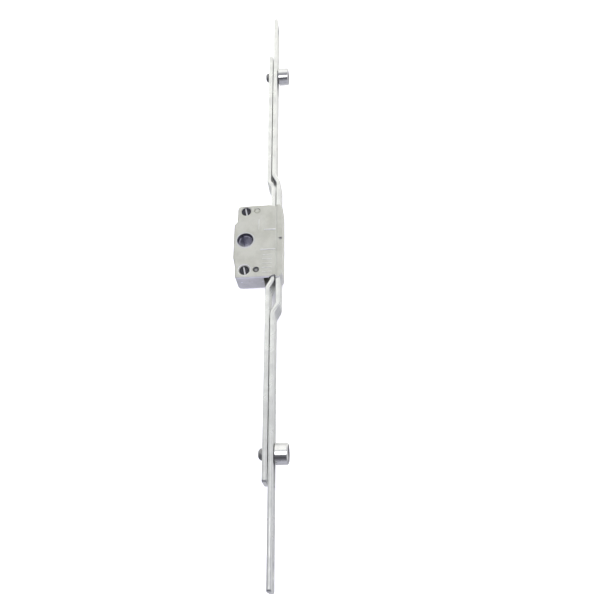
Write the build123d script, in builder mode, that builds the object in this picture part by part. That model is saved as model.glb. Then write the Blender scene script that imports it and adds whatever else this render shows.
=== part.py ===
from build123d import *
import math
import os

os.makedirs("parts", exist_ok=True)

# Frame: the spindle turns about Y at the origin, Z runs up the bars, the rollers stand out towards +X,
# and the front of the case faces -Y. The pieces that move are drawn where the drive rod rests.

# Bars
bar_width = 12.0
bar_thickness = 2.7
bar_gap = 0.5
bar_edge_chamfer = 0.35
bar_corner_radius = 1.5
joggle_offset = 3.0
joggle_length = 5.5
joggle_bend_radius = 4.0
faceplate_length = 400.0
faceplate_joggle_height = 47.4
rod_joggle_height = 36.8

# Toothed drive, a quarter turn of the spindle for the whole travel
teeth_per_turn = 20
hub_teeth = 6
rack_teeth = 7
tooth_pitch = 3.6
tooth_backlash = 0.15
tooth_addendum = 1.1
tooth_dedendum = 1.4
pressure_angle = math.radians(20)
rest_shift = 6.0

# Spindle hub
socket_side = 7.0
socket_lead_radius = 5.1
front_lead_depth = 2.3
back_lead_depth = 4.4
barrel_radius = 6.0
barrel_clearance = 0.06
barrel_set_back = 0.1

# Rack carriage
drive_width = 9.6
drive_side_clearance = 0.2
rack_backing = 2.8
rack_end_length = 4.3
carriage_end_gap = 0.5
carriage_rivet_radius = 1.25
carriage_rivet_head_radius = 2.2
carriage_rivet_head_depth = 1.0
carriage_rivet_depth = 3.6

# Case
upper_corner_left = 5.4
lower_corner_left = 5.9
bulge_left = 7.3
bulge_height = 12.0
bulge_taper_above = 2.2
bulge_taper_below = 7.0
case_drop = 0.6
end_wall = 1.3
left_wall = 1.3
bulge_wall = 1.0
side_wall = 1.4
lip_wall = 0.6
face_step = 0.4
face_step_run = 0.5
split_depth = 2.0
case_corner_radius = 2.6
front_edge_round = 1.0
back_edge_round = 1.5
right_bevel_width = 1.8
right_bevel_height = 2.4
bar_side_clearance = 0.1
bar_back_clearance = 0.2
bar_seat_clearance = 0.05
joggle_clearance = 0.5
mouth_side_clearance = 1.1
lip_notch_radius = 6.0
lip_notch_drop = 4.4
tab_width = 1.4
tab_depth = 0.6
tab_proud = 0.25
tab_positions = (3.0, 9.8)

# Case screws and rivets
screw_spacing = 43.0
screw_post_merge = 0.3
screw_head_radius = 2.9
screw_head_height = 1.6
screw_head_clearance = 0.2
screw_head_recess = 0.3
screw_shank_radius = 2.0
screw_shank_clearance = 0.2
screw_end_wall = 1.8
screw_slot_width = 0.9
screw_slot_depth = 0.8
screw_slot_angle = 11.0
upper_dish_radius = 3.6
lower_dish_radius = 3.9
rivet_offset = 7.1
rivet_post_radius = 3.0
rivet_radius = 1.2
rivet_head_radius = 1.5
rivet_head_height = 0.8
rivet_recess_radius = 1.9
rivet_recess = 0.1
rivet_deep_recess = 0.6

# Raised lines on the front of the case
line_proud = 0.25
line_width = 1.0
line_slope = 45
upper_line_height = 6.9
upper_line_start = 11.5
lower_line_height = -7.6
lower_line_start = 9.3
upright_line_place = 8.2
upright_line_bottom = 6.9
upright_line_length = 8.0
fine_line_proud = 0.15
fine_line_width = 0.6
fine_line_start = 10.6
fine_line_length = 6.0
fine_line_top = -11.5
fine_line_pitch = 3.0
fine_line_count = 5

# Key pin between the case and the faceplate
key_radius = 0.9
key_height = 0.3
key_offset = 0.2
key_end_gap = 0.5

# Brake spring behind the carriage
spring_thickness = 0.3
spring_width = 3.0
spring_length = 13.0
spring_pocket_depth = 0.6
spring_gap = 0.05
spring_end_gap = 0.4

# Rollers and their pins
roller_height = 138.0
rod_end_length = 16.0
roller_radius = 5.9
roller_length = 6.9
roller_edge = 0.6
roller_recess_radius = 4.6
roller_recess_depth = 1.6
roller_bore_clearance = 0.05
roller_end_gap = 0.1
pin_radius = 2.5
pin_shank_radius = 2.0
pin_head_radius = 4.1
pin_head_height = 1.1
pin_tail_radius = 3.2
pin_tail_height = 2.6
pin_tail_taper = 1.1
pin_slot_clearance = 0.3
washer_radius = 4.6
washer_thickness = 0.5
washer_gap = 0.15

# Faceplate screw holes
faceplate_screw_end_distance = 10.0
faceplate_screw_radius = 2.1
faceplate_screw_head_radius = 4.2

# Sizes that follow from the ones above
pitch_radius = tooth_pitch * teeth_per_turn / (2 * math.pi)
base_radius = pitch_radius * math.cos(pressure_angle)
tip_radius = pitch_radius + tooth_addendum
root_radius = pitch_radius - tooth_dedendum
tooth_half_width = tooth_pitch / 4 - tooth_backlash / 2
half_travel = tooth_pitch * teeth_per_turn / 8
rest_turn = math.degrees(rest_shift / pitch_radius)
rack_tip_x = pitch_radius - tooth_addendum
rack_root_x = pitch_radius + tooth_dedendum
rod_face_x = rack_root_x + rack_backing
rod_mid_x = rod_face_x + bar_thickness / 2
rod_outer_x = rod_face_x + bar_thickness
faceplate_inner_x = rod_outer_x + bar_gap
faceplate_mid_x = faceplate_inner_x + bar_thickness / 2
faceplate_outer_x = faceplate_inner_x + bar_thickness
arm_rod_x = rod_mid_x - joggle_offset
arm_rod_face = arm_rod_x - bar_thickness / 2
arm_rod_outer = arm_rod_x + bar_thickness / 2
arm_faceplate_x = faceplate_mid_x - joggle_offset
arm_faceplate_outer = arm_faceplate_x + bar_thickness / 2
half_width = bar_width / 2
rod_half_length = roller_height + rod_end_length
faceplate_screw_height = faceplate_length / 2 - faceplate_screw_end_distance
channel_half = half_width + bar_side_clearance
case_back = channel_half + lip_wall
strip_front = channel_half + lip_wall
case_front = strip_front + face_step
cavity_half = drive_width / 2 + drive_side_clearance
last_rack_tooth = tooth_pitch * (rack_teeth - 1) / 2
carriage_half = last_rack_tooth + rack_end_length
case_top = carriage_half + half_travel + carriage_end_gap + end_wall
case_bottom = -case_top - 2 * case_drop
channel_left = rod_face_x - bar_back_clearance
channel_right = faceplate_outer_x + bar_seat_clearance
case_right = channel_right + side_wall
mouth_height = rod_joggle_height - joggle_length / 2 - half_travel - joggle_clearance
mouth_left = arm_rod_face - mouth_side_clearance
screw_height = screw_spacing / 2
screw_seat = case_front - screw_head_recess - screw_head_height
screw_end = case_back - screw_end_wall
screw_post_radius = lower_corner_left - left_wall + screw_post_merge
carriage_rivet_height = last_rack_tooth + rack_end_length / 2
key_x = faceplate_outer_x + key_offset
slot_half_length = half_travel + pin_radius + pin_slot_clearance
washer_x = arm_faceplate_outer + washer_gap
roller_x = washer_x + washer_thickness + roller_end_gap
roller_floor = roller_x + roller_length - roller_recess_depth
pin_head_x = roller_floor + roller_end_gap


def hub_tooth_half_angle(radius):
    """Half the angle that a hub tooth spans at a radius, for an involute flank."""
    pressure = math.acos(min(1, base_radius / radius))
    at_pitch = tooth_half_width / pitch_radius + math.tan(pressure_angle) - pressure_angle
    return at_pitch - (math.tan(pressure) - pressure)


def hub_flank(side, steps=4):
    """Points of one flank of a hub tooth that points along X, from the base circle out."""
    radii = [base_radius + (tip_radius - base_radius) * step / steps for step in range(steps + 1)]
    angles = [side * hub_tooth_half_angle(radius) for radius in radii]
    return [(radius * math.cos(angle), radius * math.sin(angle)) for radius, angle in zip(radii, angles)]


def joggled_path(half_length, joggle_height, arm_x, middle_x, shift):
    """Middle line of a bar whose arms stand nearer the case than its middle."""
    before = joggle_height - joggle_length / 2
    after = joggle_height + joggle_length / 2
    upper = [(middle_x, before), (arm_x, after), (arm_x, half_length)]
    lower = [(x, -height) for x, height in reversed(upper)]
    return [(x, height + shift) for x, height in lower + upper]


# Faceplate: the fixed outer bar, slotted for the roller pins
with BuildPart() as faceplate:
    with BuildSketch(Plane.XZ):
        with BuildLine():
            FilletPolyline(
                *joggled_path(
                    faceplate_length / 2, faceplate_joggle_height, arm_faceplate_x, faceplate_mid_x, 0
                ),
                radius=joggle_bend_radius,
            )
        trace(line_width=bar_thickness)
    extrude(amount=half_width, both=True)
    end_faces = faceplate.faces().filter_by(Axis.Z).group_by(Axis.Z)
    end_edges = (end_faces[0] + end_faces[-1]).edges().filter_by(Axis.X)
    fillet(end_edges, radius=bar_corner_radius)
    side_faces = faceplate.faces().filter_by(Axis.Y)
    chamfer(side_faces.edges(), length=bar_edge_chamfer)
    for side in (1, -1):
        with BuildSketch(Plane.YZ.offset(arm_faceplate_x)):
            with Locations((0, side * roller_height)):
                SlotOverall(2 * slot_half_length, 2 * (pin_radius + pin_slot_clearance), rotation=90)
        extrude(amount=bar_thickness, both=True, mode=Mode.SUBTRACT)
        screw_place = (arm_faceplate_outer, 0, side * faceplate_screw_height)
        with Locations(Plane(origin=screw_place, z_dir=(1, 0, 0))):
            CounterSinkHole(faceplate_screw_radius, faceplate_screw_head_radius, counter_sink_angle=90)
    with BuildSketch(Plane.XZ):
        with Locations((key_x, key_height)):
            Circle(key_radius)
    extrude(amount=bar_width, both=True, mode=Mode.SUBTRACT)
faceplate.part.label = "faceplate"
export_step(faceplate.part, "parts/faceplate.step")

# Drive rod: the inner bar, which slides along the faceplate
with BuildPart() as drive_rod:
    with BuildSketch(Plane.XZ):
        with BuildLine():
            FilletPolyline(
                *joggled_path(rod_half_length, rod_joggle_height, arm_rod_x, rod_mid_x, rest_shift),
                radius=joggle_bend_radius,
            )
        trace(line_width=bar_thickness)
    extrude(amount=half_width, both=True)
    end_faces = drive_rod.faces().filter_by(Axis.Z).group_by(Axis.Z)
    end_edges = (end_faces[0] + end_faces[-1]).edges().filter_by(Axis.X)
    fillet(end_edges, radius=bar_corner_radius)
    side_faces = drive_rod.faces().filter_by(Axis.Y)
    chamfer(side_faces.edges(), length=bar_edge_chamfer)
    for side in (1, -1):
        with Locations(Plane(origin=(arm_rod_outer, 0, rest_shift + side * roller_height), z_dir=(1, 0, 0))):
            Hole(pin_shank_radius)
        rivet_place = (rod_outer_x, 0, rest_shift + side * carriage_rivet_height)
        with Locations(Plane(origin=rivet_place, z_dir=(1, 0, 0))):
            Hole(carriage_rivet_radius)
        with Locations(Plane(origin=rivet_place, z_dir=(1, 0, 0)).offset(-carriage_rivet_head_depth / 2)):
            Cone(
                carriage_rivet_radius,
                carriage_rivet_head_radius,
                carriage_rivet_head_depth,
                mode=Mode.SUBTRACT,
            )
drive_rod.part.label = "drive_rod"
export_step(drive_rod.part, "parts/drive_rod.step")

# Rack carriage: carries the rack teeth and is riveted to the drive rod
with BuildPart() as rack_carriage:
    with BuildSketch(Plane.XZ):
        with Locations(((rack_root_x + rod_face_x) / 2, rest_shift)):
            Rectangle(rack_backing, 2 * carriage_half)
        for side in (1, -1):
            end_middle = last_rack_tooth + rack_end_length / 2
            with Locations(((rack_tip_x + rod_face_x) / 2, rest_shift + side * end_middle)):
                Rectangle(rod_face_x - rack_tip_x, rack_end_length)
        tip_half = tooth_half_width - tooth_addendum * math.tan(pressure_angle)
        root_half = tooth_half_width + tooth_dedendum * math.tan(pressure_angle)
        for index in range(rack_teeth):
            middle = rest_shift - last_rack_tooth + index * tooth_pitch
            with BuildLine():
                Polyline(
                    (rack_root_x, middle - root_half),
                    (rack_tip_x, middle - tip_half),
                    (rack_tip_x, middle + tip_half),
                    (rack_root_x, middle + root_half),
                    close=True,
                )
            make_face()
    extrude(amount=drive_width / 2, both=True)
    for side in (1, -1):
        rivet_place = (rod_face_x, 0, rest_shift + side * carriage_rivet_height)
        with Locations(Plane(origin=rivet_place, z_dir=(1, 0, 0))):
            Hole(carriage_rivet_radius, depth=carriage_rivet_depth)
rack_carriage.part.label = "rack_carriage"
export_step(rack_carriage.part, "parts/rack_carriage.step")

# Carriage rivets: countersunk flush with the rod, which runs close to the faceplate
with BuildPart() as carriage_rivets:
    for side in (1, -1):
        height = rest_shift + side * carriage_rivet_height
        with BuildSketch(Plane.XZ):
            with BuildLine():
                Polyline(
                    (rod_face_x - carriage_rivet_depth, height),
                    (rod_outer_x, height),
                    (rod_outer_x, height + carriage_rivet_head_radius),
                    (rod_outer_x - carriage_rivet_head_depth, height + carriage_rivet_radius),
                    (rod_face_x - carriage_rivet_depth, height + carriage_rivet_radius),
                    close=True,
                )
            make_face()
        revolve(axis=Axis((0, 0, height), (1, 0, 0)))
carriage_rivets.part.label = "carriage_rivets"
export_step(carriage_rivets.part, "parts/carriage_rivets.step")

# Spindle hub: a square socket in a barrel, with a sector of teeth
with BuildSketch() as hub_tooth:
    foot = root_radius - tooth_addendum / 2
    foot_angle = hub_tooth_half_angle(base_radius)
    with BuildLine():
        lower = hub_flank(-1)
        upper = hub_flank(1)
        Spline(*lower)
        ThreePointArc(lower[-1], (tip_radius, 0), upper[-1])
        Spline(*upper)
        Polyline(
            upper[0],
            (foot * math.cos(foot_angle), foot * math.sin(foot_angle)),
            (foot * math.cos(foot_angle), -foot * math.sin(foot_angle)),
            lower[0],
        )
    make_face()

with BuildPart() as spindle_hub:
    barrel_back = case_back - barrel_set_back
    barrel_front = case_front - barrel_set_back
    with BuildSketch(Plane.XZ.offset(-barrel_back)):
        Circle(barrel_radius)
    extrude(amount=barrel_back + barrel_front)
    with BuildSketch(Plane.XZ.offset(-drive_width / 2)):
        tooth_angle = 360 / teeth_per_turn
        half_sector = hub_teeth * tooth_angle / 2
        start = math.radians(rest_turn - half_sector)
        end = math.radians(rest_turn + half_sector)
        middle = math.radians(rest_turn)
        with BuildLine():
            first = (root_radius * math.cos(start), root_radius * math.sin(start))
            last = (root_radius * math.cos(end), root_radius * math.sin(end))
            Line((0, 0), first)
            ThreePointArc(first, (root_radius * math.cos(middle), root_radius * math.sin(middle)), last)
            Line(last, (0, 0))
        make_face()
        for index in range(hub_teeth):
            add(hub_tooth.sketch, rotation=rest_turn + (index - (hub_teeth - 1) / 2) * tooth_angle)
    extrude(amount=drive_width)
    with BuildSketch(Plane.XZ):
        Rectangle(socket_side, socket_side, rotation=rest_turn + 45)
    extrude(amount=case_front + case_back, both=True, mode=Mode.SUBTRACT)
    for face, outward, depth in ((-barrel_front, -1, front_lead_depth), (barrel_back, 1, back_lead_depth)):
        with Locations(Plane(origin=(0, face, 0), z_dir=(0, outward, 0)).offset(-depth / 2)):
            Cone(socket_side / 2, socket_lead_radius, depth, mode=Mode.SUBTRACT)
spindle_hub.part.label = "spindle_hub"
export_step(spindle_hub.part, "parts/spindle_hub.step")

# Outlines shared by the two halves of the case
with BuildSketch() as case_outline:
    with BuildLine():
        Polyline(
            (-upper_corner_left, case_top),
            (-upper_corner_left, bulge_height + bulge_taper_above),
            (-bulge_left, bulge_height),
            (-bulge_left, -bulge_height),
            (-lower_corner_left, -bulge_height - bulge_taper_below),
            (-lower_corner_left, case_bottom),
            (case_right - right_bevel_width, case_bottom),
            (case_right, case_bottom + right_bevel_height),
            (case_right, case_top - right_bevel_height),
            (case_right - right_bevel_width, case_top),
            close=True,
        )
    make_face()
    rows = case_outline.vertices().group_by(Axis.Y)
    left_corners = [rows[0].sort_by(Axis.X)[0], rows[-1].sort_by(Axis.X)[0]]
    fillet(left_corners, radius=case_corner_radius)

with BuildSketch() as case_cavity:
    with BuildLine():
        Polyline(
            (left_wall - upper_corner_left, case_top - end_wall),
            (left_wall - upper_corner_left, bulge_height + bulge_taper_above - left_wall),
            (bulge_wall - bulge_left, bulge_height - left_wall),
            (bulge_wall - bulge_left, left_wall - bulge_height),
            (left_wall - lower_corner_left, left_wall - bulge_height - bulge_taper_below),
            (left_wall - lower_corner_left, case_bottom + end_wall),
            (rod_mid_x, case_bottom + end_wall),
            (rod_mid_x, case_top - end_wall),
            close=True,
        )
    make_face()
    for side in (1, -1):
        with Locations((0, side * screw_height)):
            Circle(screw_post_radius, mode=Mode.SUBTRACT)
        with Locations((rivet_offset, side * screw_height)):
            Circle(rivet_post_radius, mode=Mode.SUBTRACT)

with BuildSketch() as bar_channel:
    with Locations(((channel_left + channel_right) / 2, 0)):
        Rectangle(channel_right - channel_left, 3 * case_top)
    for side in (1, -1):
        with Locations(((mouth_left + channel_right) / 2, side * (mouth_height + case_top / 2))):
            Rectangle(channel_right - mouth_left, case_top)

with BuildSketch() as lip_notches:
    with Locations(
        (faceplate_inner_x, case_top + lip_notch_drop), (faceplate_inner_x, case_bottom - lip_notch_drop)
    ):
        Circle(lip_notch_radius)
    with Locations((faceplate_inner_x + lip_notch_radius, 0)):
        Rectangle(2 * lip_notch_radius, 4 * case_top, mode=Mode.SUBTRACT)

# Case front: the cover half, with the raised lines
with BuildPart() as case_front_half:
    with BuildSketch(Plane.XZ.offset(split_depth)):
        add(case_outline.sketch)
    extrude(amount=case_front - split_depth)
    front_face = case_front_half.faces().sort_by(Axis.Y)[0]
    fillet(front_face.edges(), radius=front_edge_round)
    with BuildSketch(Plane.XZ.offset(split_depth)):
        add(case_cavity.sketch)
    extrude(amount=cavity_half - split_depth, mode=Mode.SUBTRACT)
    with BuildSketch(Plane.XZ.offset(split_depth)):
        add(bar_channel.sketch)
    extrude(amount=channel_half - split_depth, mode=Mode.SUBTRACT)
    with BuildSketch(Plane.XZ.offset(split_depth)):
        add(lip_notches.sketch)
    extrude(amount=case_front, mode=Mode.SUBTRACT)
    with BuildSketch(Plane.XY.offset(case_bottom)):
        with BuildLine():
            Polyline(
                (faceplate_inner_x, -case_front),
                (faceplate_inner_x + face_step_run, -strip_front),
                (case_right + face_step_run, -strip_front),
                (case_right + face_step_run, -case_front - face_step),
                (faceplate_inner_x, -case_front - face_step),
                close=True,
            )
        make_face()
    extrude(amount=case_top - case_bottom, mode=Mode.SUBTRACT)
    with BuildSketch(Plane.XZ):
        Circle(barrel_radius + barrel_clearance)
        with Locations((key_x, key_height)):
            Circle(key_radius)
        with Locations((rivet_offset, screw_height), (rivet_offset, -screw_height)):
            Circle(rivet_radius)
        with Locations((0, screw_height), (0, -screw_height)):
            Circle(screw_shank_radius + screw_shank_clearance)
    extrude(amount=case_front + face_step, mode=Mode.SUBTRACT)
    with BuildSketch(Plane.XZ.offset(case_front)):
        with Locations(((upper_line_start + faceplate_inner_x) / 2, upper_line_height)):
            Rectangle(faceplate_inner_x - upper_line_start, line_width)
        with Locations(((lower_line_start + faceplate_inner_x) / 2, lower_line_height)):
            Rectangle(faceplate_inner_x - lower_line_start, line_width)
    extrude(amount=line_proud, taper=line_slope)
    with BuildSketch(Plane.XZ.offset(case_front)):
        with Locations((upright_line_place, upright_line_bottom + upright_line_length / 2)):
            Rectangle(fine_line_width, upright_line_length)
        for index in range(fine_line_count):
            height = fine_line_top - index * fine_line_pitch
            with Locations((fine_line_start + fine_line_length / 2, height)):
                Rectangle(fine_line_length, fine_line_width)
    extrude(amount=fine_line_proud, taper=line_slope)
    for side, radius in ((1, upper_dish_radius), (-1, lower_dish_radius)):
        dish = Plane(origin=(0, -case_front, side * screw_height), z_dir=(0, -1, 0))
        with Locations(dish.offset(-screw_head_recess / 2)):
            Cone(radius - screw_head_recess, radius, screw_head_recess, mode=Mode.SUBTRACT)
    with BuildSketch(Plane.XZ.offset(screw_seat)):
        with Locations((0, screw_height), (0, -screw_height)):
            Circle(screw_head_radius + screw_head_clearance)
    extrude(amount=case_front, mode=Mode.SUBTRACT)
    for side, recess in ((1, rivet_recess), (-1, rivet_deep_recess)):
        with BuildSketch(Plane.XZ.offset(case_front - recess - rivet_head_height)):
            with Locations((rivet_offset, side * screw_height)):
                Circle(rivet_recess_radius)
        extrude(amount=case_front, mode=Mode.SUBTRACT)
    for start in (case_bottom - tab_proud, case_top - end_wall / 2):
        with BuildSketch(Plane.XY.offset(start)):
            for place in tab_positions:
                with Locations((place, -split_depth - tab_depth / 2)):
                    Rectangle(tab_width, tab_depth)
        extrude(amount=tab_proud + end_wall / 2)
case_front_half.part.label = "case_front"
export_step(case_front_half.part, "parts/case_front.step")

# Case back: the deep half
with BuildPart() as case_back_half:
    with BuildSketch(Plane.XZ.offset(split_depth)):
        add(case_outline.sketch)
    extrude(amount=-split_depth - case_back)
    back_face = case_back_half.faces().sort_by(Axis.Y)[-1]
    fillet(back_face.edges(), radius=back_edge_round)
    with BuildSketch(Plane.XZ.offset(split_depth)):
        add(case_cavity.sketch)
    extrude(amount=-split_depth - cavity_half, mode=Mode.SUBTRACT)
    with BuildSketch(Plane.XZ.offset(split_depth)):
        add(bar_channel.sketch)
    extrude(amount=-split_depth - channel_half, mode=Mode.SUBTRACT)
    with BuildSketch(Plane.XZ.offset(split_depth)):
        add(lip_notches.sketch)
    extrude(amount=-split_depth - case_back, mode=Mode.SUBTRACT)
    with BuildSketch(Plane.XZ.offset(-case_back)):
        Circle(barrel_radius + barrel_clearance)
        with Locations((rivet_offset, screw_height), (rivet_offset, -screw_height)):
            Circle(rivet_radius)
    extrude(amount=case_back + split_depth, mode=Mode.SUBTRACT)
    with BuildSketch(Plane.XZ.offset(-screw_end)):
        with Locations((0, screw_height), (0, -screw_height)):
            Circle(screw_shank_radius)
    extrude(amount=screw_end + split_depth, mode=Mode.SUBTRACT)
    with BuildSketch(Plane.XZ.offset(key_end_gap - case_back)):
        with Locations((key_x, key_height)):
            Circle(key_radius)
    extrude(amount=case_back + split_depth, mode=Mode.SUBTRACT)
    with BuildSketch(Plane.XZ.offset(rivet_head_height + rivet_recess - case_back)):
        with Locations((rivet_offset, screw_height), (rivet_offset, -screw_height)):
            Circle(rivet_recess_radius)
    extrude(amount=-case_back, mode=Mode.SUBTRACT)
    with BuildSketch(Plane.XZ.offset(-cavity_half)):
        with Locations((channel_left - spring_width / 2, 0)):
            Rectangle(spring_width + 2 * spring_end_gap, spring_length + 2 * spring_end_gap)
    extrude(amount=-spring_pocket_depth, mode=Mode.SUBTRACT)
case_back_half.part.label = "case_back"
export_step(case_back_half.part, "parts/case_back.step")

# Case screws: slotted heads sunk in the cover
with BuildPart() as case_screws:
    for side in (1, -1):
        place = (0, side * screw_height)
        with BuildSketch(Plane.XZ.offset(-screw_end)):
            with Locations(place):
                Circle(screw_shank_radius)
        extrude(amount=screw_end + screw_seat)
        with BuildSketch(Plane.XZ.offset(screw_seat)):
            with Locations(place):
                Circle(screw_head_radius)
        extrude(amount=screw_head_height)
        with BuildSketch(Plane.XZ.offset(screw_seat + screw_head_height - screw_slot_depth)):
            with Locations(place):
                Rectangle(screw_slot_width, 3 * screw_head_radius, rotation=screw_slot_angle)
        extrude(amount=2 * screw_slot_depth, mode=Mode.SUBTRACT)
case_screws.part.label = "case_screws"
export_step(case_screws.part, "parts/case_screws.step")

# Case rivets: the lower one sits deeper in the cover
for name, side, recess in (("upper", 1, rivet_recess), ("lower", -1, rivet_deep_recess)):
    with BuildPart() as case_rivet:
        place = (rivet_offset, side * screw_height)
        front_end = case_front - recess
        back_end = case_back - rivet_recess
        with BuildSketch(Plane.XZ.offset(-back_end)):
            with Locations(place):
                Circle(rivet_radius)
        extrude(amount=back_end + front_end)
        with BuildSketch(Plane.XZ.offset(front_end - rivet_head_height)):
            with Locations(place):
                Circle(rivet_head_radius)
        extrude(amount=rivet_head_height)
        with BuildSketch(Plane.XZ.offset(-back_end)):
            with Locations(place):
                Circle(rivet_head_radius)
        extrude(amount=rivet_head_height)
    case_rivet.part.label = "case_rivet_" + name
    export_step(case_rivet.part, "parts/case_rivet_" + name + ".step")

# Key pin: keeps the faceplate from sliding in the case
with BuildPart() as key_pin:
    with BuildSketch(Plane.XZ.offset(key_end_gap - case_back)):
        with Locations((key_x, key_height)):
            Circle(key_radius)
    extrude(amount=case_back + strip_front - 2 * key_end_gap)
key_pin.part.label = "key_pin"
export_step(key_pin.part, "parts/key_pin.step")

# Brake spring: bows out of its pocket towards the carriage
with BuildPart() as brake_spring:
    with BuildSketch(Plane.YZ.offset(channel_left - spring_width)):
        floor = cavity_half + spring_pocket_depth
        crest = drive_width / 2 + spring_gap
        half = spring_length / 2
        with BuildLine():
            ThreePointArc((floor, -half), (crest + spring_thickness, 0), (floor, half))
            Line((floor, half), (floor - spring_thickness, half))
            ThreePointArc((floor - spring_thickness, half), (crest, 0), (floor - spring_thickness, -half))
            Line((floor - spring_thickness, -half), (floor, -half))
        make_face()
    extrude(amount=spring_width)
brake_spring.part.label = "brake_spring"
export_step(brake_spring.part, "parts/brake_spring.step")

# Rollers, their riveted pins and the washers under them
for name, side in (("upper", 1), ("lower", -1)):
    height = rest_shift + side * roller_height
    pin_axis = Axis((0, 0, height), (1, 0, 0))
    with BuildPart() as roller:
        bore = height + pin_radius + roller_bore_clearance
        end = roller_x + roller_length
        with BuildSketch(Plane.XZ):
            with BuildLine():
                Polyline(
                    (roller_x, bore),
                    (roller_x, height + roller_radius),
                    (end - roller_edge, height + roller_radius),
                    (end, height + roller_radius - roller_edge),
                    (end, height + roller_recess_radius),
                    (roller_floor, height + roller_recess_radius),
                    (roller_floor, bore),
                    close=True,
                )
            make_face()
        revolve(axis=pin_axis)
    roller.part.label = "roller_" + name
    export_step(roller.part, "parts/roller_" + name + ".step")

    with BuildPart() as roller_pin:
        tail = arm_rod_face - pin_tail_height
        with BuildSketch(Plane.XZ):
            with BuildLine():
                Polyline(
                    (tail, height),
                    (pin_head_x + pin_head_height, height),
                    (pin_head_x + pin_head_height, height + pin_head_radius),
                    (pin_head_x, height + pin_head_radius),
                    (pin_head_x, height + pin_radius),
                    (arm_rod_outer, height + pin_radius),
                    (arm_rod_outer, height + pin_shank_radius),
                    (arm_rod_face, height + pin_shank_radius),
                    (arm_rod_face, height + pin_tail_radius),
                    (tail + pin_tail_taper, height + pin_tail_radius),
                    (tail, height + pin_tail_radius - pin_tail_taper),
                    close=True,
                )
            make_face()
        revolve(axis=pin_axis)
    roller_pin.part.label = "roller_pin_" + name
    export_step(roller_pin.part, "parts/roller_pin_" + name + ".step")

    with BuildPart() as pin_washer:
        with BuildSketch(Plane.YZ.offset(washer_x)):
            with Locations((0, height)):
                Circle(washer_radius)
                Circle(pin_radius, mode=Mode.SUBTRACT)
        extrude(amount=washer_thickness)
    pin_washer.part.label = "pin_washer_" + name
    export_step(pin_washer.part, "parts/pin_washer_" + name + ".step")
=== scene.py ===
import math

import bpy
from bpy.props import FloatProperty, FloatVectorProperty, PointerProperty
from mathutils import Matrix, Vector


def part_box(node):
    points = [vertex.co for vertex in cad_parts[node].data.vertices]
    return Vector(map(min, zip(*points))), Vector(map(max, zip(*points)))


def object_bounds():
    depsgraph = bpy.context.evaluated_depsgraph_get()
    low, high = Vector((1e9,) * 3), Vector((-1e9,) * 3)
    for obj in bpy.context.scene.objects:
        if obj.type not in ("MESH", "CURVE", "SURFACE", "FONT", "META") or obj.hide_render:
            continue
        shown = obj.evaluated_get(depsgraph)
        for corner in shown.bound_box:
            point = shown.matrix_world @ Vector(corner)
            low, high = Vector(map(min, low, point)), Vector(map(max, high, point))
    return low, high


bl_info = {
    "name": "Multipoint lock",
    "version": (1, 0, 0),
    "blender": (4, 5, 0),
    "location": "3D View > Sidebar > Lock",
    "description": "Dresses a sliding-sash multipoint lock and stands it in a plain studio",
    "category": "Object",
}

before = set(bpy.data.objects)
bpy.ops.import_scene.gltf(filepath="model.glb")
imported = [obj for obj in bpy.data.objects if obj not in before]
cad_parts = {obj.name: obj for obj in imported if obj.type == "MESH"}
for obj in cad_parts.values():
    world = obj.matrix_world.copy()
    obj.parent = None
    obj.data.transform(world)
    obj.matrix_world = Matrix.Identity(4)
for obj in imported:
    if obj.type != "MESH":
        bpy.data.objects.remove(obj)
CAD_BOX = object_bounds()
MM = 0.001

# The light that gloss shows, by degrees from the front over the top to the back
GLOSS_BANDS = (
    (-180, 0.60), (-138, 0.42), (-105, 0.50), (-80, 0.20), (-58, 0.07), (-38, 0.14), (-22, 0.28),
    (-6, 0.34), (8, 0.38), (22, 0.77), (34, 0.93), (60, 0.91), (90, 0.75), (137, 0.70),
    (160, 0.58), (180, 0.52),
)
GLOSS_LEVEL = 1.4
# How much of it is left from side to side, low down and high up, and where high up begins
SIDES_LOW = ((-1, 0.42), (-0.65, 0.55), (-0.3, 0.86), (0.15, 0.86), (0.55, 0.6), (1, 0.6))
SIDES_HIGH = (
    (-1, 0.80), (-0.8, 1.0), (-0.35, 1.0), (-0.1, 0.86), (0.2, 0.86), (0.5, 1.0), (1, 1.0),
)
RAISED = ((0.25, 0), (0.5, 1))
# Its tint by height
GLOSS_TINTS = (
    (-1, (0.90, 0.90, 1.0)), (0.05, (0.96, 0.965, 1.0)), (0.35, (0.98, 1.0, 0.98)),
    (0.6, (1.0, 1.0, 0.955)),
)
# The even panel on the side of the rollers
SIDE_PANEL = ((0.6, 0), (0.9, 1))
SIDE_PANEL_COLOUR = (0.62, 0.62, 0.63)
# The fill, from below to above
UPWARD = ((-1, 0), (1, 1))
WHITE = (1.0, 1.0, 1.0)
WARM_WHITE = (1.0, 0.995, 0.95)

# The range of a noise that roughness follows, and the one that patches of tone follow
NOISE_SPAN = (0.3, 0.7)
PATCH_SPAN = (0.35, 0.7)
# Near black, painted as shade on the upper part of the hub's lead-in
HUB_SHADE_COLOUR = (0.03, 0.03, 0.04)

BAR_THICKNESS = 2.7 * MM
HALF_BAR = BAR_THICKNESS / 2
FACEPLATE_JOGGLE = 47.4 * MM
ROD_JOGGLE = 36.8 * MM
JOGGLE_LENGTH = 5.5 * MM
EDGE_CHAMFER = 0.35 * MM
CROWN_RADIUS = 4.2 * MM

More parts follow.
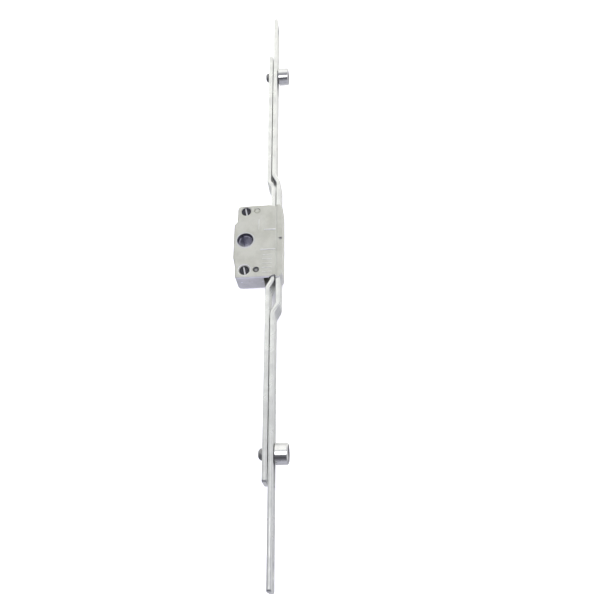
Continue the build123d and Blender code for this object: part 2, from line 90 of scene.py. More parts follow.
SCREWS_LOW, SCREWS_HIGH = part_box("case_screws")
SCREW_HEAD_RADIUS = (SCREWS_HIGH.x - SCREWS_LOW.x) / 2
SCREW_HEIGHT = SCREWS_HIGH.z - SCREW_HEAD_RADIUS
SCREW_FACE = SCREWS_LOW.y
SLOT_LEAN = math.radians(11)
SLOT_HALF_WIDTH = 0.45 * MM
SLOT_DEPTHS = (SCREW_FACE + 0.1 * MM, SCREW_FACE + 0.2 * MM)
# The lower screw's countersunk seat: painted shade inside it and a painted highlight round its edge
DISH_RADIUS = 3.85 * MM
DISH_FLOOR_RADIUS = DISH_RADIUS - 0.35 * MM
DISH_EDGE_HALF_WIDTH = 0.2 * MM

LINE_PROUD = 0.25 * MM
CASE_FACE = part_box("case_front")[0].y + LINE_PROUD
CASE_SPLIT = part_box("case_front")[1].y
CASE_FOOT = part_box("case_front")[0].z
# Painted highlights go on the tops of the raised lines, the tallest ones, the lower front edge and
# the split line underneath
LINE_TOPS = CASE_FACE - 0.07 * MM
TALLEST_LINE_TOPS = CASE_FACE - 0.18 * MM
CASE_FRONT_EDGE = CASE_FACE + 0.8 * MM
CASE_FRONT_END = CASE_SPLIT - 1 * MM
CASE_SPLIT_HALF_WIDTH = 0.45 * MM
CASE_UNDERSIDE = CASE_FOOT + 0.7 * MM
STRIP_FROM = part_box("drive_rod")[1].x + 0.5 * MM
STRIP_START = (STRIP_FROM - 0.1 * MM, STRIP_FROM + 0.1 * MM)
STRIP_FADE = (STRIP_FROM + 0.4 * MM, STRIP_FROM + 1.7 * MM)
STRIP_DEPTH = CASE_FACE + 0.9 * MM
KEY_LOW, KEY_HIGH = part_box("key_pin")
KEY_PLACE = (KEY_LOW + KEY_HIGH) / 2
KEY_DIMPLE_RADIUS = 1.3 * MM
RIVET_LOW, RIVET_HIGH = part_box("case_rivet_lower")
RIVET_RADIUS = (RIVET_HIGH.x - RIVET_LOW.x) / 2
RIVET_PLACE = (RIVET_LOW + RIVET_HIGH) / 2
RIVET_SHADE_RADIUS = RIVET_RADIUS + 0.5 * MM
# How much of the coat the marks cover: painted shade at the foot of the step, in the lower screw's
# seat and round the key pin; painted highlight on the front edge and the tallest raised lines
STRIP_SHADE = (0.36, 0.05)
DISH_SHADE = 0.5
DIMPLE_SHADE = 0.4
EDGE_HIGHLIGHT = 0.7
TALLEST_LINE_HIGHLIGHT = 0.8

HUB_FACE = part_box("spindle_hub")[0].y
HUB_LEAD_END = HUB_FACE + 2.3 * MM
HUB_RIM_END = HUB_FACE + 0.04 * MM
# The hub's lead-in: where the painted highlight below it ends, where the painted shade above is
# full, and how dark that shade gets
HUB_HIGHLIGHT_TOP = -2.5 * MM
HUB_SHADE_FULL = 0.5 * MM
HUB_SHADE = 0.85
# The ring of painted highlight round the square in the hub: its radius, half width, depth and half
# depth
MOUTH_RADIUS = 3.6 * MM
MOUTH_HALF_WIDTH = 0.45 * MM
MOUTH_MIDDLE = HUB_FACE + 1.6 * MM
MOUTH_HALF_DEPTH = 0.5 * MM

SENSOR_WIDTH = 36
CLIP_START = 0.01
SHEET_SIZE = 3.0
SHEET_GAP = 0.2 * MM
FLOOR_COLOUR = (0.62, 0.61, 0.88)
BACKDROP_COLOUR = (0.93, 0.93, 0.95)
PAPER_GLOW = (0.85, 0.85, 0.87)
PAPER_ROUGHNESS = 0.9
# The shade on the paper close to the lock: its reach, how open the paper is where the shade is
# full and where it ends, how far along the lock it fades, and how bright its darkest is there
SHADE_REACH = 6 * MM
SHADE_SPAN = (0.25, 0.62)
SHADE_FADE = (60 * MM, 90 * MM)
SHADE_LEVELS = (0.1, 1.0)


class LockColours(bpy.types.PropertyGroup):
    """Colours of the finishes."""

    plating: FloatVectorProperty(
        name="Plating",
        description="Satin zinc plating on the two bars",
        subtype="COLOR",
        min=0,
        max=1,
        default=(0.86, 0.87, 0.85),
    )
    plating_shade: FloatVectorProperty(
        name="Plating shade",
        description="Duller patches of the plating",
        subtype="COLOR",
        min=0,
        max=1,
        default=(0.72, 0.73, 0.72),
    )
    # Painted highlight: the colour painted on the front chamfers of the bars, standing in for the
    # light they catch
    edge_highlight: FloatVectorProperty(
        name="Burnished edges",
        description="Plating rubbed bright along the front edges of the bars",
        subtype="COLOR",
        min=0,
        max=1,
        default=(0.97, 0.98, 0.96),
    )
    casting: FloatVectorProperty(
        name="Casting",
        description="Pale warm grey coat of the case",
        subtype="COLOR",
        min=0,
        max=1,
        default=(0.69, 0.70, 0.575),
    )
    casting_shade: FloatVectorProperty(
        name="Casting shade",
        description="Cloudy darker patches of the coat",
        subtype="COLOR",
        min=0,
        max=1,
        default=(0.59, 0.60, 0.48),
    )
    # Painted highlight: the pale colour painted on raised lines, edges and spots underneath,
    # standing in for the light they catch
    casting_highlight: FloatVectorProperty(
        name="Worn casting",
        description="Pale bare metal where the coat is rubbed off the raised lines",
        subtype="COLOR",
        min=0,
        max=1,
        default=(0.88, 0.89, 0.82),
    )
    # Painted shade: the colour painted at the foot of steps and in recesses, where shade falls
    recess_shade: FloatVectorProperty(
        name="Grime",
        description="Grey film that settles at the foot of steps and in recesses",
        subtype="COLOR",
        min=0,
        max=1,
        default=(0.36, 0.37, 0.33),
    )
    roller: FloatVectorProperty(
        name="Rollers",
        description="Polished steel of the rollers",
        subtype="COLOR",
        min=0,
        max=1,
        default=(0.86, 0.86, 0.88),
    )
    pin: FloatVectorProperty(
        name="Pins",
        description="Dull steel of the pins, rivets and washers",
        subtype="COLOR",
        min=0,
        max=1,
        default=(0.42, 0.42, 0.43),
    )
    screw: FloatVectorProperty(
        name="Screws",
        description="Dark finish of the case screws",
        subtype="COLOR",
        min=0,
        max=1,
        default=(0.07, 0.07, 0.085),
    )
    # Painted highlight: the bright colour painted in the screw slots and round the square in the
    # hub, standing in for light caught there
    painted_glint: FloatVectorProperty(
        name="Screw slots",
        description="Bare metal that the screwdriver has laid open in the slots",
        subtype="COLOR",
        min=0,
        max=1,
        default=(0.74, 0.74, 0.80),
    )
    hub: FloatVectorProperty(
        name="Hub",
        description="Sintered steel of the spindle hub",
        subtype="COLOR",
        min=0,
        max=1,
        default=(0.40, 0.40, 0.48),
    )
    # The rubbed rim; the same colour is also painted as a highlight on the lower part of the
    # lead-in
    hub_rim_and_highlight: FloatVectorProperty(
        name="Hub rim",
        description="Rubbed end of the hub, flush with the case",
        subtype="COLOR",
        min=0,
        max=1,
        default=(0.66, 0.67, 0.65),
    )


class LockStudio(bpy.types.PropertyGroup):
    """Camera and light."""

    camera_place: FloatVectorProperty(
        name="Camera place",
        description="Where the camera stands",
        subtype="TRANSLATION",
        unit="LENGTH",
        default=(0.06267, -0.34986, -0.22843),
    )
    camera_yaw: FloatProperty(
        name="Camera yaw",
        description="Turn of the camera to the right",
        subtype="ANGLE",
        default=math.radians(-4.858),
    )
    camera_pitch: FloatProperty(
        name="Camera pitch",
        description="Tilt of the camera above the horizon",
        subtype="ANGLE",
        default=math.radians(28.215),
    )
    camera_roll: FloatProperty(
        name="Camera roll",
        description="Roll of the camera",
        subtype="ANGLE",
        default=math.radians(-0.541),
    )
    focal_length: FloatProperty(
        name="Focal length",
        description="Lens in front of a 36 mm sensor",
        unit="CAMERA",
        default=40.25,
    )
    fill_above: FloatVectorProperty(
        name="Fill from above",
        description="Soft light from above the lock",
        subtype="COLOR",
        min=0,
        max=1,
        default=(0.60, 0.60, 0.58),
    )
    fill_below: FloatVectorProperty(
        name="Fill from below",
        description="Bluish light that the paper throws back from below",
        subtype="COLOR",
        min=0,
        max=1,
        default=(0.19, 0.185, 0.33),
    )
    front_power: FloatProperty(
        name="Front lamp",
        description="Power of the large lamp above the front",
        unit="POWER",
        min=0,
        default=5.7,
    )
    flash_power: FloatProperty(
        name="Flash",
        description="Power of the small lamp beside the camera",
        unit="POWER",
        min=0,
        default=0.13,
    )
    back_power: FloatProperty(
        name="Back lamp",
        description="Power of the lamp behind the lock",
        unit="POWER",
        min=0,
        default=5.0,
    )
    side_power: FloatProperty(
        name="Side lamp",
        description="Power of the lamp on the side of the rollers",
        unit="POWER",
        min=0,
        default=2.0,
    )


class Nodes:
    """Adds nodes to a tree, where each input is a value or another node's output."""

    def __init__(self, tree, coordinates):
        self.tree = tree
        self.place = self.add("ShaderNodeTexCoord").outputs[coordinates]

    def put(self, value, socket):
        """Links an output to a socket, or sets the socket to a value."""
        if isinstance(value, bpy.types.NodeSocket):
            self.tree.links.new(value, socket)
        elif socket.type == "RGBA":
            socket.default_value = (*value, 1)
        else:
            socket.default_value = value

    def add(self, kind, inputs=None, **settings):
        """A node with its settings, and its inputs by name or number."""
        node = self.tree.nodes.new(kind)
        for name, value in settings.items():
            setattr(node, name, value)
        for name, value in (inputs or {}).items():
            self.put(value, node.inputs[name])
        return node

    def axes(self, place=None):
        """The X, Y and Z of a place, or else of the coordinates."""
        return self.add("ShaderNodeSeparateXYZ", {0: place or self.place}).outputs

    def maths(self, operation, first, second=0.0):
        """One sum on two values."""
        return self.add("ShaderNodeMath", {0: first, 1: second}, operation=operation).outputs[0]

    def product(self, first, *others):
        """Values multiplied with each other."""
        for value in others:
            first = self.maths("MULTIPLY", first, value)
        return first

    def off(self, value, centre):
        """How far a value lies from a centre."""
        return self.maths("ABSOLUTE", self.maths("SUBTRACT", value, centre))

    def length(self, first, second):
        """How long a line is that goes so far along two axes."""
        squares = [self.maths("POWER", self.maths("ABSOLUTE", x), 2.0) for x in (first, second)]
        return self.maths("SQRT", self.maths("ADD", *squares))

    def carry(self, value, low, high, new_low=0.0, new_high=1.0, kind="LINEAR"):
        """A value carried from one range to another, and held there."""
        inputs = {"Value": value, "From Min": low, "From Max": high}
        inputs.update({"To Min": new_low, "To Max": new_high})
        node = self.add("ShaderNodeMapRange", inputs, interpolation_type=kind)
        return node.outputs["Result"]

    def spread(self, value, low, high, new_low=0.0, new_high=1.0):
        """A value carried likewise, but eased at both ends."""
        return self.carry(value, low, high, new_low, new_high, "SMOOTHSTEP")

    def below(self, value, edge, blur):
        """1 under an edge, 0 over it, with a soft step between."""
        return self.spread(value, edge - blur, edge + blur, 1.0, 0.0)

    def mix(self, factor, first, second, blend="MIX"):
        """Two colours mixed."""
        inputs = {0: factor, 6: first, 7: second}
        return self.add("ShaderNodeMix", inputs, data_type="RGBA", blend_type=blend).outputs[2]


class Finish(Nodes):
    """One material, whose patterns read the piece's own coordinates."""

    def __init__(self, name, metallic):
        self.material = bpy.data.materials.new(name)
        self.material.use_nodes = True
        super().__init__(self.material.node_tree, "Object")
        self.shader = self.tree.nodes["Principled BSDF"]
        self.put(metallic, self.shader.inputs["Metallic"])
        self.last_bump = None

    def moved(self, location=(0, 0, 0), scale=(1, 1, 1)):
        """The piece's coordinates, centred on a place and stretched."""
        inputs = {"Vector": self.place, "Location": [-x for x in location]}
        inputs = {"Vector": self.add("ShaderNodeMapping", inputs).outputs[0], "Scale": scale}
        return self.add("ShaderNodeMapping", inputs).outputs[0]

    def noise(self, scale, detail=3.0, roughness=0.5, place=None):
        """Soft noise from 0 to 1, with its scale in lumps per metre."""
        inputs = {"Vector": place or self.place, "Scale": scale}
        inputs.update({"Detail": detail, "Roughness": roughness})
        return self.add("ShaderNodeTexNoise", inputs).outputs["Fac"]

    def mottled(self, patches, colour, shade):
        """A colour with patches of another, where a noise is high."""
        return self.mix(self.spread(patches, *PATCH_SPAN), colour, shade)

    def distance(self, x, z):
        """How far a point lies from a line along Y."""
        parts = self.axes(self.moved(location=(x, 0, z)))
        return self.length(parts["X"], parts["Z"])

    def colour(self, value):
        """Gives the shader its colour."""
        self.put(value, self.shader.inputs["Base Color"])

    def roughness(self, pattern, smoothest, roughest):
        """Lets the roughness follow a noise between two levels."""
        level = self.spread(pattern, *NOISE_SPAN, smoothest, roughest)
        self.put(level, self.shader.inputs["Roughness"])

    def bump(self, height, depth):
        """Adds relief of a depth in metres to what is there."""
        inputs = {"Height": height, "Distance": depth, "Strength": 1.0}
        if self.last_bump:
            inputs["Normal"] = self.last_bump
        self.last_bump = self.add("ShaderNodeBump", inputs).outputs[0]
        self.put(self.last_bump, self.shader.inputs["Normal"])


def shaded(colour, level):
    """A colour dimmed to a level."""
    return [level * value for value in colour]


def plated_steel(colours, node, joggle_height):
    """Satin zinc plating: cloudy patches, fine rolling lines, a small grain and crowned edges, with
    a painted highlight on the front chamfers.
    """
    finish = Finish(node + "_plating", metallic=0.85)
    patches = finish.noise(scale=160, detail=4)
    lines = finish.noise(scale=1, detail=2, place=finish.moved(scale=(5200, 5200, 60)))
    grain = finish.noise(scale=4200, detail=2)
    tone = finish.mottled(patches, colours.plating, colours.plating_shade)
    tone = finish.mix(finish.spread(lines, 0.3, 0.75, 0.0, 0.35), tone, colours.plating_shade)
    low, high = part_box(node)
    x, y, z = finish.axes()
    # The bar's centre line, which steps over at the joggles
    along = finish.off(z, (low.z + high.z) / 2)
    joggle = (joggle_height - JOGGLE_LENGTH / 2, joggle_height + JOGGLE_LENGTH / 2)
    centre = finish.spread(along, *joggle, high.x - HALF_BAR, low.x + HALF_BAR)
    off_centre = finish.off(x, centre)
    # The narrow sides are crowned: they sink by the distance squared over twice the radius
    on_face = finish.maths("MINIMUM", off_centre, HALF_BAR - EDGE_CHAMFER)
    crown = finish.product(finish.maths("POWER", on_face, 2.0), -0.5 / CROWN_RADIUS)
    # The front chamfers, painted brighter as a highlight
    edges = (HALF_BAR - EDGE_CHAMFER, HALF_BAR - 0.8 * EDGE_CHAMFER)
    front = finish.below(y, low.y + 1.2 * EDGE_CHAMFER, blur=0.05 * MM)
    lit_chamfers = finish.product(finish.spread(off_centre, *edges), front)
    finish.colour(finish.mix(lit_chamfers, tone, colours.edge_highlight))
    finish.roughness(patches, 0.27, 0.34)
    finish.bump(crown, depth=1.0)
    finish.bump(lines, depth=0.009 * MM)
    finish.bump(grain, depth=0.004 * MM)
    return finish.material


def case_marks(finish, colours):
    """Where painted shade and painted highlights lie on the case, with their colours, in the order
    laid on.
    """
    x, y, z = finish.axes()
    recess_shade, painted_highlight = colours.recess_shade, colours.casting_highlight
    in_front = finish.below(y, CASE_FRONT_END, blur=0.5 * MM)
    underneath = finish.below(z, CASE_UNDERSIDE, blur=0.1 * MM)

    # Painted shade: a dark band at the foot of the step right of the rod, fading to the right
    foot = finish.spread(x, *STRIP_FADE, *STRIP_SHADE)
    beside = finish.spread(x, *STRIP_START)
    strip_shade = finish.product(foot, beside, finish.below(y, STRIP_DEPTH, blur=0.2 * MM))

    # Painted shade round the lower rivet, which sits in a recess
    around_rivet = finish.distance(RIVET_PLACE.x, RIVET_PLACE.z)
    rivet = finish.below(around_rivet, RIVET_SHADE_RADIUS, blur=0.15 * MM)

    # Painted shade in the lower screw's countersunk seat, and a painted highlight round its edge
    around_screw = finish.distance(0, -SCREW_HEIGHT)
    sunk = finish.below(around_screw, DISH_FLOOR_RADIUS, blur=0.1 * MM)
    dish_shade = finish.product(sunk, DISH_SHADE, in_front)
    from_edge = finish.off(around_screw, DISH_RADIUS)
    ring = finish.below(from_edge, DISH_EDGE_HALF_WIDTH, blur=0.08 * MM)
    dish_edge_highlight = finish.product(ring, in_front)

    # Painted shade in the hollow round the key pin
    around_key = finish.distance(KEY_PLACE.x, KEY_PLACE.z)
    hollow = finish.below(around_key, KEY_DIMPLE_RADIUS, blur=0.5 * MM)
    dimple_shade = finish.product(hollow, DIMPLE_SHADE, in_front)

    # Painted highlight along the lower front edge
    at_front = finish.below(y, CASE_FRONT_EDGE, blur=0.15 * MM)
    front_edge_highlight = finish.product(underneath, at_front, EDGE_HIGHLIGHT)
    # Painted highlights in spots along the split line underneath
    split = finish.below(finish.off(y, CASE_SPLIT), CASE_SPLIT_HALF_WIDTH, blur=0.15 * MM)
    highlight_spots = finish.spread(finish.noise(scale=330, detail=1), 0.54, 0.62)
    split_highlights = finish.product(split, highlight_spots, underneath)

    # Painted highlights on the tops of the raised lines, patchy, and fullest on the tallest
    tops = finish.below(y, LINE_TOPS, blur=0.04 * MM)
    patchy = finish.product(tops, finish.spread(finish.noise(scale=700), 0.35, 0.62, 0.25, 1.0))
    tallest = finish.below(y, TALLEST_LINE_TOPS, blur=0.04 * MM)
    lines = finish.maths("MAXIMUM", patchy, finish.product(tallest, TALLEST_LINE_HIGHLIGHT))
    return (
        (strip_shade, recess_shade), (rivet, recess_shade), (dish_shade, recess_shade), (dish_edge_highlight, painted_highlight), (dimple_shade, recess_shade),
        (front_edge_highlight, painted_highlight), (split_highlights, painted_highlight), (lines, painted_highlight),
    )


def case_coat(colours):
    """Pale coat on a die casting: clouds of tone and a matte grain, with painted shade in recesses
    and painted highlights on edges and raised lines.
    """
    finish = Finish("case_coat", metallic=0.0)
    clouds = finish.noise(scale=110, detail=4, roughness=0.6)
    specks = finish.noise(scale=1500, detail=3, roughness=0.65)
    swell = finish.noise(scale=260, detail=2)
    tone = finish.mix(finish.spread(clouds, 0.35, 0.68), colours.casting, colours.casting_shade)
    tone = finish.mix(finish.spread(specks, 0.55, 0.8, 0.0, 0.45), tone, colours.casting_shade)
    # Lays the painted shade and painted highlights over the coat
    for mark, colour in case_marks(finish, colours):
        tone = finish.mix(mark, tone, colour)
    finish.colour(tone)
    finish.roughness(specks, 0.42, 0.56)
    finish.bump(swell, depth=0.05 * MM)
    finish.bump(specks, depth=0.02 * MM)
    return finish.material


def roller_steel(colours, name, height):
    """Polished turned steel: hairlines round the roller's own axis."""
    finish = Finish("roller_steel_" + name, metallic=1.0)
    x, y, z = finish.axes(finish.moved(location=(0, 0, height)))
    turned = finish.add("ShaderNodeCombineXYZ", {"X": x, "Y": finish.length(y, z)}).outputs[0]
    hairlines = finish.noise(scale=6500, detail=3, place=turned)
    film = finish.spread(finish.noise(scale=220, detail=3), 0.4, 0.75)
    finish.colour(finish.mix(film, colours.roller, shaded(colours.roller, 0.86)))
    finish.roughness(hairlines, 0.07, 0.13)
    finish.bump(hairlines, depth=0.004 * MM)
    return finish.material


def pin_steel(colours):
    """Dull grey steel of the pins and rivets, lightly pitted."""
    finish = Finish("pin_steel", metallic=1.0)
    patches = finish.noise(scale=600, detail=3)
    pits = finish.noise(scale=2600, detail=2)
    finish.colour(finish.mottled(patches, colours.pin, shaded(colours.pin, 0.6)))
    finish.roughness(pits, 0.38, 0.55)
    finish.bump(pits, depth=0.015 * MM)
    return finish.material


def shaded_rivet_steel(colours):
    """The lower rivet of the case: painted near black as shade in its recess, less so in its
    middle, which keeps more of the steel's colour.
    """
    finish = Finish("shaded_rivet_steel", metallic=0.6)
    pits = finish.noise(scale=2600, detail=2)
    around = finish.distance(RIVET_PLACE.x, RIVET_PLACE.z)
    # Painted shade: the rivet near black, except towards its middle
    rubbed = finish.product(finish.below(around, 0.6 * RIVET_RADIUS, blur=0.4 * MM), 0.8)
    finish.colour(finish.mix(rubbed, shaded(colours.recess_shade, 0.3), colours.pin))
    finish.roughness(pits, 0.4, 0.6)
    finish.bump(pits, depth=0.02 * MM)
    return finish.material


def screw_steel(colours):
    """Dark screw finish, with a painted highlight in the slots."""
    finish = Finish("screw_steel", metallic=1.0)
    patches = finish.noise(scale=900, detail=3)
    dark = finish.mottled(patches, colours.screw, shaded(colours.screw, 0.6))
    x, y, z = finish.axes()
    # The groove across each head, painted bright as a highlight
    centre = finish.product(finish.maths("SIGN", z), SCREW_HEIGHT)
    upward = finish.product(finish.maths("SUBTRACT", z, centre), math.sin(SLOT_LEAN))
    across = finish.maths("ADD", finish.product(x, math.cos(SLOT_LEAN)), upward)
    within = finish.below(finish.maths("ABSOLUTE", across), SLOT_HALF_WIDTH, blur=0.05 * MM)
    slot_highlight = finish.product(within, finish.spread(y, *SLOT_DEPTHS))
    finish.colour(finish.mix(slot_highlight, dark, colours.painted_glint))
    finish.roughness(patches, 0.35, 0.5)
    finish.bump(patches, depth=0.02 * MM)
    return finish.material


def sintered_tone(finish, colour):
    """The dull tone of sintered steel, and its fine pores."""
    patches = finish.noise(scale=500, detail=3)
    return finish.mottled(patches, colour, shaded(colour, 0.65)), finish.noise(scale=3200, detail=2)


def hub_steel(colours):
    """Sintered steel, its lead-in with painted shade above and a painted highlight below and round
    the square, with a pale rubbed rim.
    """
    finish = Finish("hub_steel", metallic=0.6)
    tone, pores = sintered_tone(finish, colours.hub)
    _, y, z = finish.axes()
    lead_in = finish.below(y, HUB_LEAD_END, blur=0.15 * MM)
    upper = finish.spread(z, HUB_HIGHLIGHT_TOP, HUB_SHADE_FULL, 0.0, HUB_SHADE)
    upper_shade = finish.product(lead_in, upper)
    painted_highlight = finish.product(lead_in, finish.below(z, HUB_HIGHLIGHT_TOP, blur=0.6 * MM))
    off_radius = finish.off(finish.distance(0, 0), MOUTH_RADIUS)
    ring = finish.below(off_radius, MOUTH_HALF_WIDTH, blur=0.15 * MM)
    at_depth = finish.below(finish.off(y, MOUTH_MIDDLE), MOUTH_HALF_DEPTH, blur=0.2 * MM)
    mouth_highlight = finish.product(ring, at_depth)
    rim = finish.below(y, HUB_RIM_END, blur=0.03 * MM)
    # Painted shade above and painted highlight below on the lead-in, a painted highlight round the
    # square, then the rubbed rim
    marks = (
        (upper_shade, HUB_SHADE_COLOUR), (painted_highlight, colours.hub_rim_and_highlight), (mouth_highlight, colours.painted_glint),
        (rim, colours.hub_rim_and_highlight),
    )
    for mark, colour in marks:
        tone = finish.mix(mark, tone, colour)
    finish.colour(tone)
    finish.roughness(pores, 0.3, 0.45)
    finish.bump(pores, depth=0.02 * MM)
    return finish.material


def sintered_steel(name, colour):
    """Pressed and sintered steel: dull, with fine pores."""
    finish = Finish(name, metallic=1.0)
    tone, pores = sintered_tone(finish, colour)
    finish.colour(tone)
    finish.roughness(pores, 0.42, 0.6)
    finish.bump(pores, depth=0.02 * MM)
    return finish.material


def dress(node, material):
    """Gives a CAD node its finish."""
    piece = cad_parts[node]
    piece.data.materials.clear()
    piece.data.materials.append(material)


class LOCK_OT_bars(bpy.types.Operator):
    """Give the faceplate and the drive rod their plating"""

    bl_idname = "lock.bars"
    bl_label = "Bars"

    def execute(self, context):
        colours = context.scene.lock_colours
        dress("faceplate", plated_steel(colours, "faceplate", FACEPLATE_JOGGLE))
        dress("drive_rod", plated_steel(colours, "drive_rod", ROD_JOGGLE))
        return {"FINISHED"}


class LOCK_OT_case(bpy.types.Operator):
    """Give both halves of the case and the coated rivet their coat"""

    bl_idname = "lock.case"
    bl_label = "Case"

    def execute(self, context):
        coat = case_coat(context.scene.lock_colours)
        dress("case_front", coat)
        dress("case_back", coat)
        dress("case_rivet_upper", coat)
        return {"FINISHED"}


class LOCK_OT_screws(bpy.types.Operator):
    """Give the case screws their dark finish"""

    bl_idname = "lock.screws"
    bl_label = "Screws"

    def execute(self, context):
        dress("case_screws", screw_steel(context.scene.lock_colours))
        return {"FINISHED"}


class LOCK_OT_pins(bpy.types.Operator):
    """Give the pins, rivets, washers and the spring their steel"""

    bl_idname = "lock.pins"
    bl_label = "Pins and rivets"

    def execute(self, context):
        colours = context.scene.lock_colours
        steel = pin_steel(colours)
        dress("case_rivet_lower", shaded_rivet_steel(colours))
        for node in ("carriage_rivets", "key_pin", "brake_spring"):
            dress(node, steel)
        for end in ("upper", "lower"):
            dress("roller_pin_" + end, steel)
            dress("pin_washer_" + end, steel)
        return {"FINISHED"}


class LOCK_OT_drive(bpy.types.Operator):
    """Give the hub and the rack carriage their sintered steel"""

    bl_idname = "lock.drive"
    bl_label = "Toothed drive"

    def execute(self, context):
        colours = context.scene.lock_colours
        dress("spindle_hub", hub_steel(colours))
        dress("rack_carriage", sintered_steel("carriage_steel", colours.pin))
        return {"FINISHED"}


class LOCK_OT_rollers(bpy.types.Operator):
    """Give the rollers their polish"""

    bl_idname = "lock.rollers"
    bl_label = "Rollers"

    def execute(self, context):
        colours = context.scene.lock_colours
        for end in ("upper", "lower"):
            low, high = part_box("roller_" + end)
            height = (low.z + high.z) / 2
            dress("roller_" + end, roller_steel(colours, end, height))
        return {"FINISHED"}


def area_lamp(name, place, target, size, power, in_gloss=False, colour=WHITE):
    """A soft lamp of a width and height that faces a point, and that gloss shows or not."""
    data = bpy.data.lights.new(name, "AREA")
    data.shape = "RECTANGLE"
    data.size, data.size_y = size
    data.energy = power
    data.color = colour
    lamp = bpy.data.objects.new(name, data)
    bpy.context.scene.collection.objects.link(lamp)
    lamp.location = place
    lamp.rotation_mode = "QUATERNION"
    lamp.rotation_quaternion = (Vector(target) - Vector(place)).to_track_quat("-Z", "Y")
    lamp.visible_glossy = in_gloss


def place_camera(studio):
    """The camera at the photograph's angle."""
    yaw, pitch, roll = studio.camera_yaw, studio.camera_pitch, studio.camera_roll
    forward = Vector((
        math.sin(yaw) * math.cos(pitch),
        math.cos(yaw) * math.cos(pitch),
        math.sin(pitch),
    ))
    level = Vector((math.cos(yaw), -math.sin(yaw), 0))
    above = level.cross(forward)
    right = math.cos(roll) * level + math.sin(roll) * above
    up = -math.sin(roll) * level + math.cos(roll) * above
    data = bpy.data.cameras.new("camera")
    data.lens = studio.focal_length
    data.sensor_width = SENSOR_WIDTH
    data.clip_start = CLIP_START
    camera = bpy.data.objects.new("camera", data)
    bpy.context.scene.collection.objects.link(camera)
    turn = Matrix((right, up, -forward)).transposed().to_4x4()
    camera.matrix_world = Matrix.Translation(studio.camera_place) @ turn
    bpy.context.scene.camera = camera


class World(Nodes):
    """The light from all around, which differs for the camera, for gloss and for the rest."""

    def __init__(self):
        self.world = bpy.data.worlds.new("studio")
        self.world.use_nodes = True
        super().__init__(self.world.node_tree, "Generated")
        self.rays = self.add("ShaderNodeLightPath").outputs

    def ramp(self, value, stops, low=-1, high=1):
        """Grey levels or colours at stops along a range."""
        bands = self.add("ShaderNodeValToRGB", {0: self.carry(value, low, high)})
        elements = bands.color_ramp.elements
        while len(elements) < len(stops):
            elements.new(1)
        for element, (at, level) in zip(elements, stops):
            element.position = (at - low) / (high - low)
            element.color = (*(level if isinstance(level, tuple) else (level,) * 3), 1)
        return bands.outputs[0]


def light_world(studio):
    """White for the camera, gloss in bands from the front over the top, and a soft fill."""
    world = World()
    bpy.context.scene.world = world.world
    sideways, depth, height = world.axes()
    toward = world.product(depth, -1.0)
    around = world.maths("DEGREES", world.maths("ARCTAN2", height, toward))
    gloss = world.ramp(around, GLOSS_BANDS, -180, 180)
    low, high = world.ramp(sideways, SIDES_LOW), world.ramp(sideways, SIDES_HIGH)
    sides = world.mix(world.ramp(height, RAISED), low, high)
    tints = world.ramp(height, GLOSS_TINTS)
    for layer in (sides, tints, (GLOSS_LEVEL,) * 3):
        gloss = world.mix(1.0, gloss, layer, "MULTIPLY")
    gloss = world.mix(world.ramp(sideways, SIDE_PANEL), gloss, SIDE_PANEL_COLOUR)
    fill = world.mix(world.ramp(height, UPWARD), studio.fill_below, studio.fill_above)
    rays = world.rays
    mirrored = world.maths("MAXIMUM", rays["Is Glossy Ray"], rays["Is Transmission Ray"])
    lit = world.mix(mirrored, fill, gloss)
    seen = world.mix(rays["Is Camera Ray"], lit, WHITE)
    world.put(seen, world.tree.nodes["Background"].inputs["Color"])


def paper(name, colour):
    """Pale paper that glows to the camera alone, dimmer close to the lock, clear from behind."""
    finish = Finish(name, metallic=0.0)
    finish.colour(colour)
    finish.put(PAPER_ROUGHNESS, finish.shader.inputs["Roughness"])
    finish.put(0, finish.shader.inputs["Specular IOR Level"])
    finish.put(PAPER_GLOW, finish.shader.inputs["Emission Color"])
    openness = finish.add("ShaderNodeAmbientOcclusion", {"Distance": SHADE_REACH}).outputs["AO"]
    from_middle = finish.maths("ABSOLUTE", finish.axes()["Y"])
    darkest = finish.carry(from_middle, *SHADE_FADE, *SHADE_LEVELS)
    level = finish.carry(openness, *SHADE_SPAN, darkest)
    to_camera = finish.add("ShaderNodeLightPath").outputs["Is Camera Ray"]
    finish.put(finish.product(level, to_camera), finish.shader.inputs["Emission Strength"])
    behind = finish.add("ShaderNodeNewGeometry").outputs["Backfacing"]
    clear = finish.add("ShaderNodeBsdfTransparent").outputs[0]
    shaders = {0: behind, 1: finish.shader.outputs[0], 2: clear}
    either = finish.add("ShaderNodeMixShader", shaders).outputs[0]
    finish.put(either, finish.tree.nodes["Material Output"].inputs["Surface"])
    return finish.material


def sheet(name, place, turn, colour):
    """A large sheet of paper, which gloss doesn't show."""
    bpy.ops.object.select_all(action="DESELECT")
    bpy.ops.mesh.primitive_plane_add(size=SHEET_SIZE, location=place, rotation=turn)
    plane = bpy.context.object
    plane.name = name
    plane.visible_glossy = False
    plane.data.materials.append(paper(name, colour))
    return plane


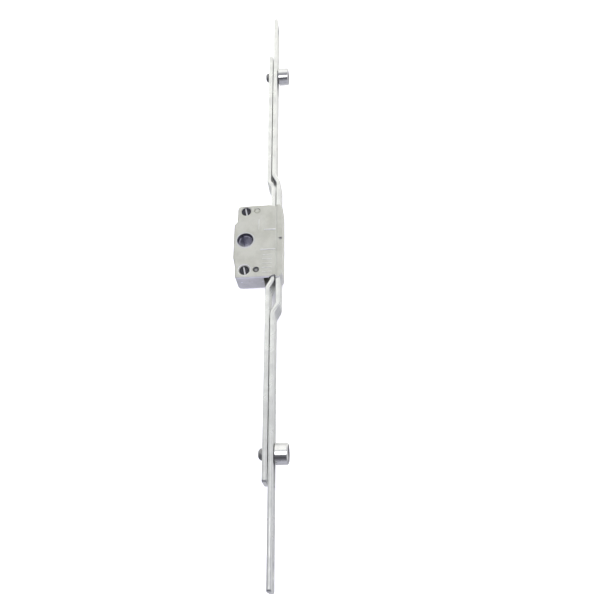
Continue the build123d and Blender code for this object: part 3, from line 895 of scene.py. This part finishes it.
class LOCK_OT_stage(bpy.types.Operator):
    """Set up the camera, the light and the floor"""

    bl_idname = "lock.stage"
    bl_label = "Stage"

    def execute(self, context):
        studio = context.scene.lock_studio
        place_camera(studio)
        light_world(studio)
        area_lamp(
            "front_lamp", place=(0.1, -0.65, 1.0), target=(0, 0, 0), size=(0.7, 0.7),
            power=studio.front_power, colour=WARM_WHITE,
        )
        area_lamp(
            "flash", place=(-0.022, -0.42, -0.175), target=(0.022, 0, 0), size=(0.09, 0.26),
            power=studio.flash_power, in_gloss=True,
        )
        area_lamp(
            "back_lamp", place=(0, 0.8, 0.6), target=(0, 0, 0), size=(0.7, 0.7),
            power=studio.back_power,
        )
        area_lamp(
            "side_lamp", place=(0.8, -0.3, 0.1), target=(0, 0, 0), size=(0.5, 0.5),
            power=studio.side_power,
        )
        below, behind = CAD_BOX[0].z - SHEET_GAP, CAD_BOX[1].y + SHEET_GAP
        sheet("floor", (0, 0, below), (0, 0, 0), FLOOR_COLOUR)
        upright = (math.radians(90), 0, 0)
        backdrop = sheet("backdrop", (0, behind, 0), upright, BACKDROP_COLOUR)
        backdrop.visible_diffuse = False
        backdrop.visible_shadow = False
        context.scene.view_settings.view_transform = "Standard"
        return {"FINISHED"}


class LOCK_PT_panel(bpy.types.Panel):
    """Lists the lock's pieces and settings"""

    bl_idname = "LOCK_PT_panel"
    bl_label = "Multipoint lock"
    bl_space_type = "VIEW_3D"
    bl_region_type = "UI"
    bl_category = "Lock"

    def draw(self, context):
        for step in STEPS:
            self.layout.operator(step.bl_idname)
        for settings in (context.scene.lock_colours, context.scene.lock_studio):
            for name in settings.__annotations__:
                self.layout.prop(settings, name)


STEPS = (
    LOCK_OT_bars,
    LOCK_OT_case,
    LOCK_OT_screws,
    LOCK_OT_pins,
    LOCK_OT_drive,
    LOCK_OT_rollers,
    LOCK_OT_stage,
)
CLASSES = (LockColours, LockStudio, *STEPS, LOCK_PT_panel)


def register():
    """Makes the classes and the settings known to Blender."""
    for item in CLASSES:
        bpy.utils.register_class(item)
    bpy.types.Scene.lock_colours = PointerProperty(type=LockColours)
    bpy.types.Scene.lock_studio = PointerProperty(type=LockStudio)


def unregister():
    """Takes the settings and the classes out again."""
    del bpy.types.Scene.lock_studio
    del bpy.types.Scene.lock_colours
    for item in reversed(CLASSES):
        bpy.utils.unregister_class(item)


def main():
    """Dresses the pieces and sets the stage."""
    register()
    bpy.ops.lock.bars()
    bpy.ops.lock.case()
    bpy.ops.lock.screws()
    bpy.ops.lock.pins()
    bpy.ops.lock.drive()
    bpy.ops.lock.rollers()
    bpy.ops.lock.stage()


if __name__ == "__main__":
    main()
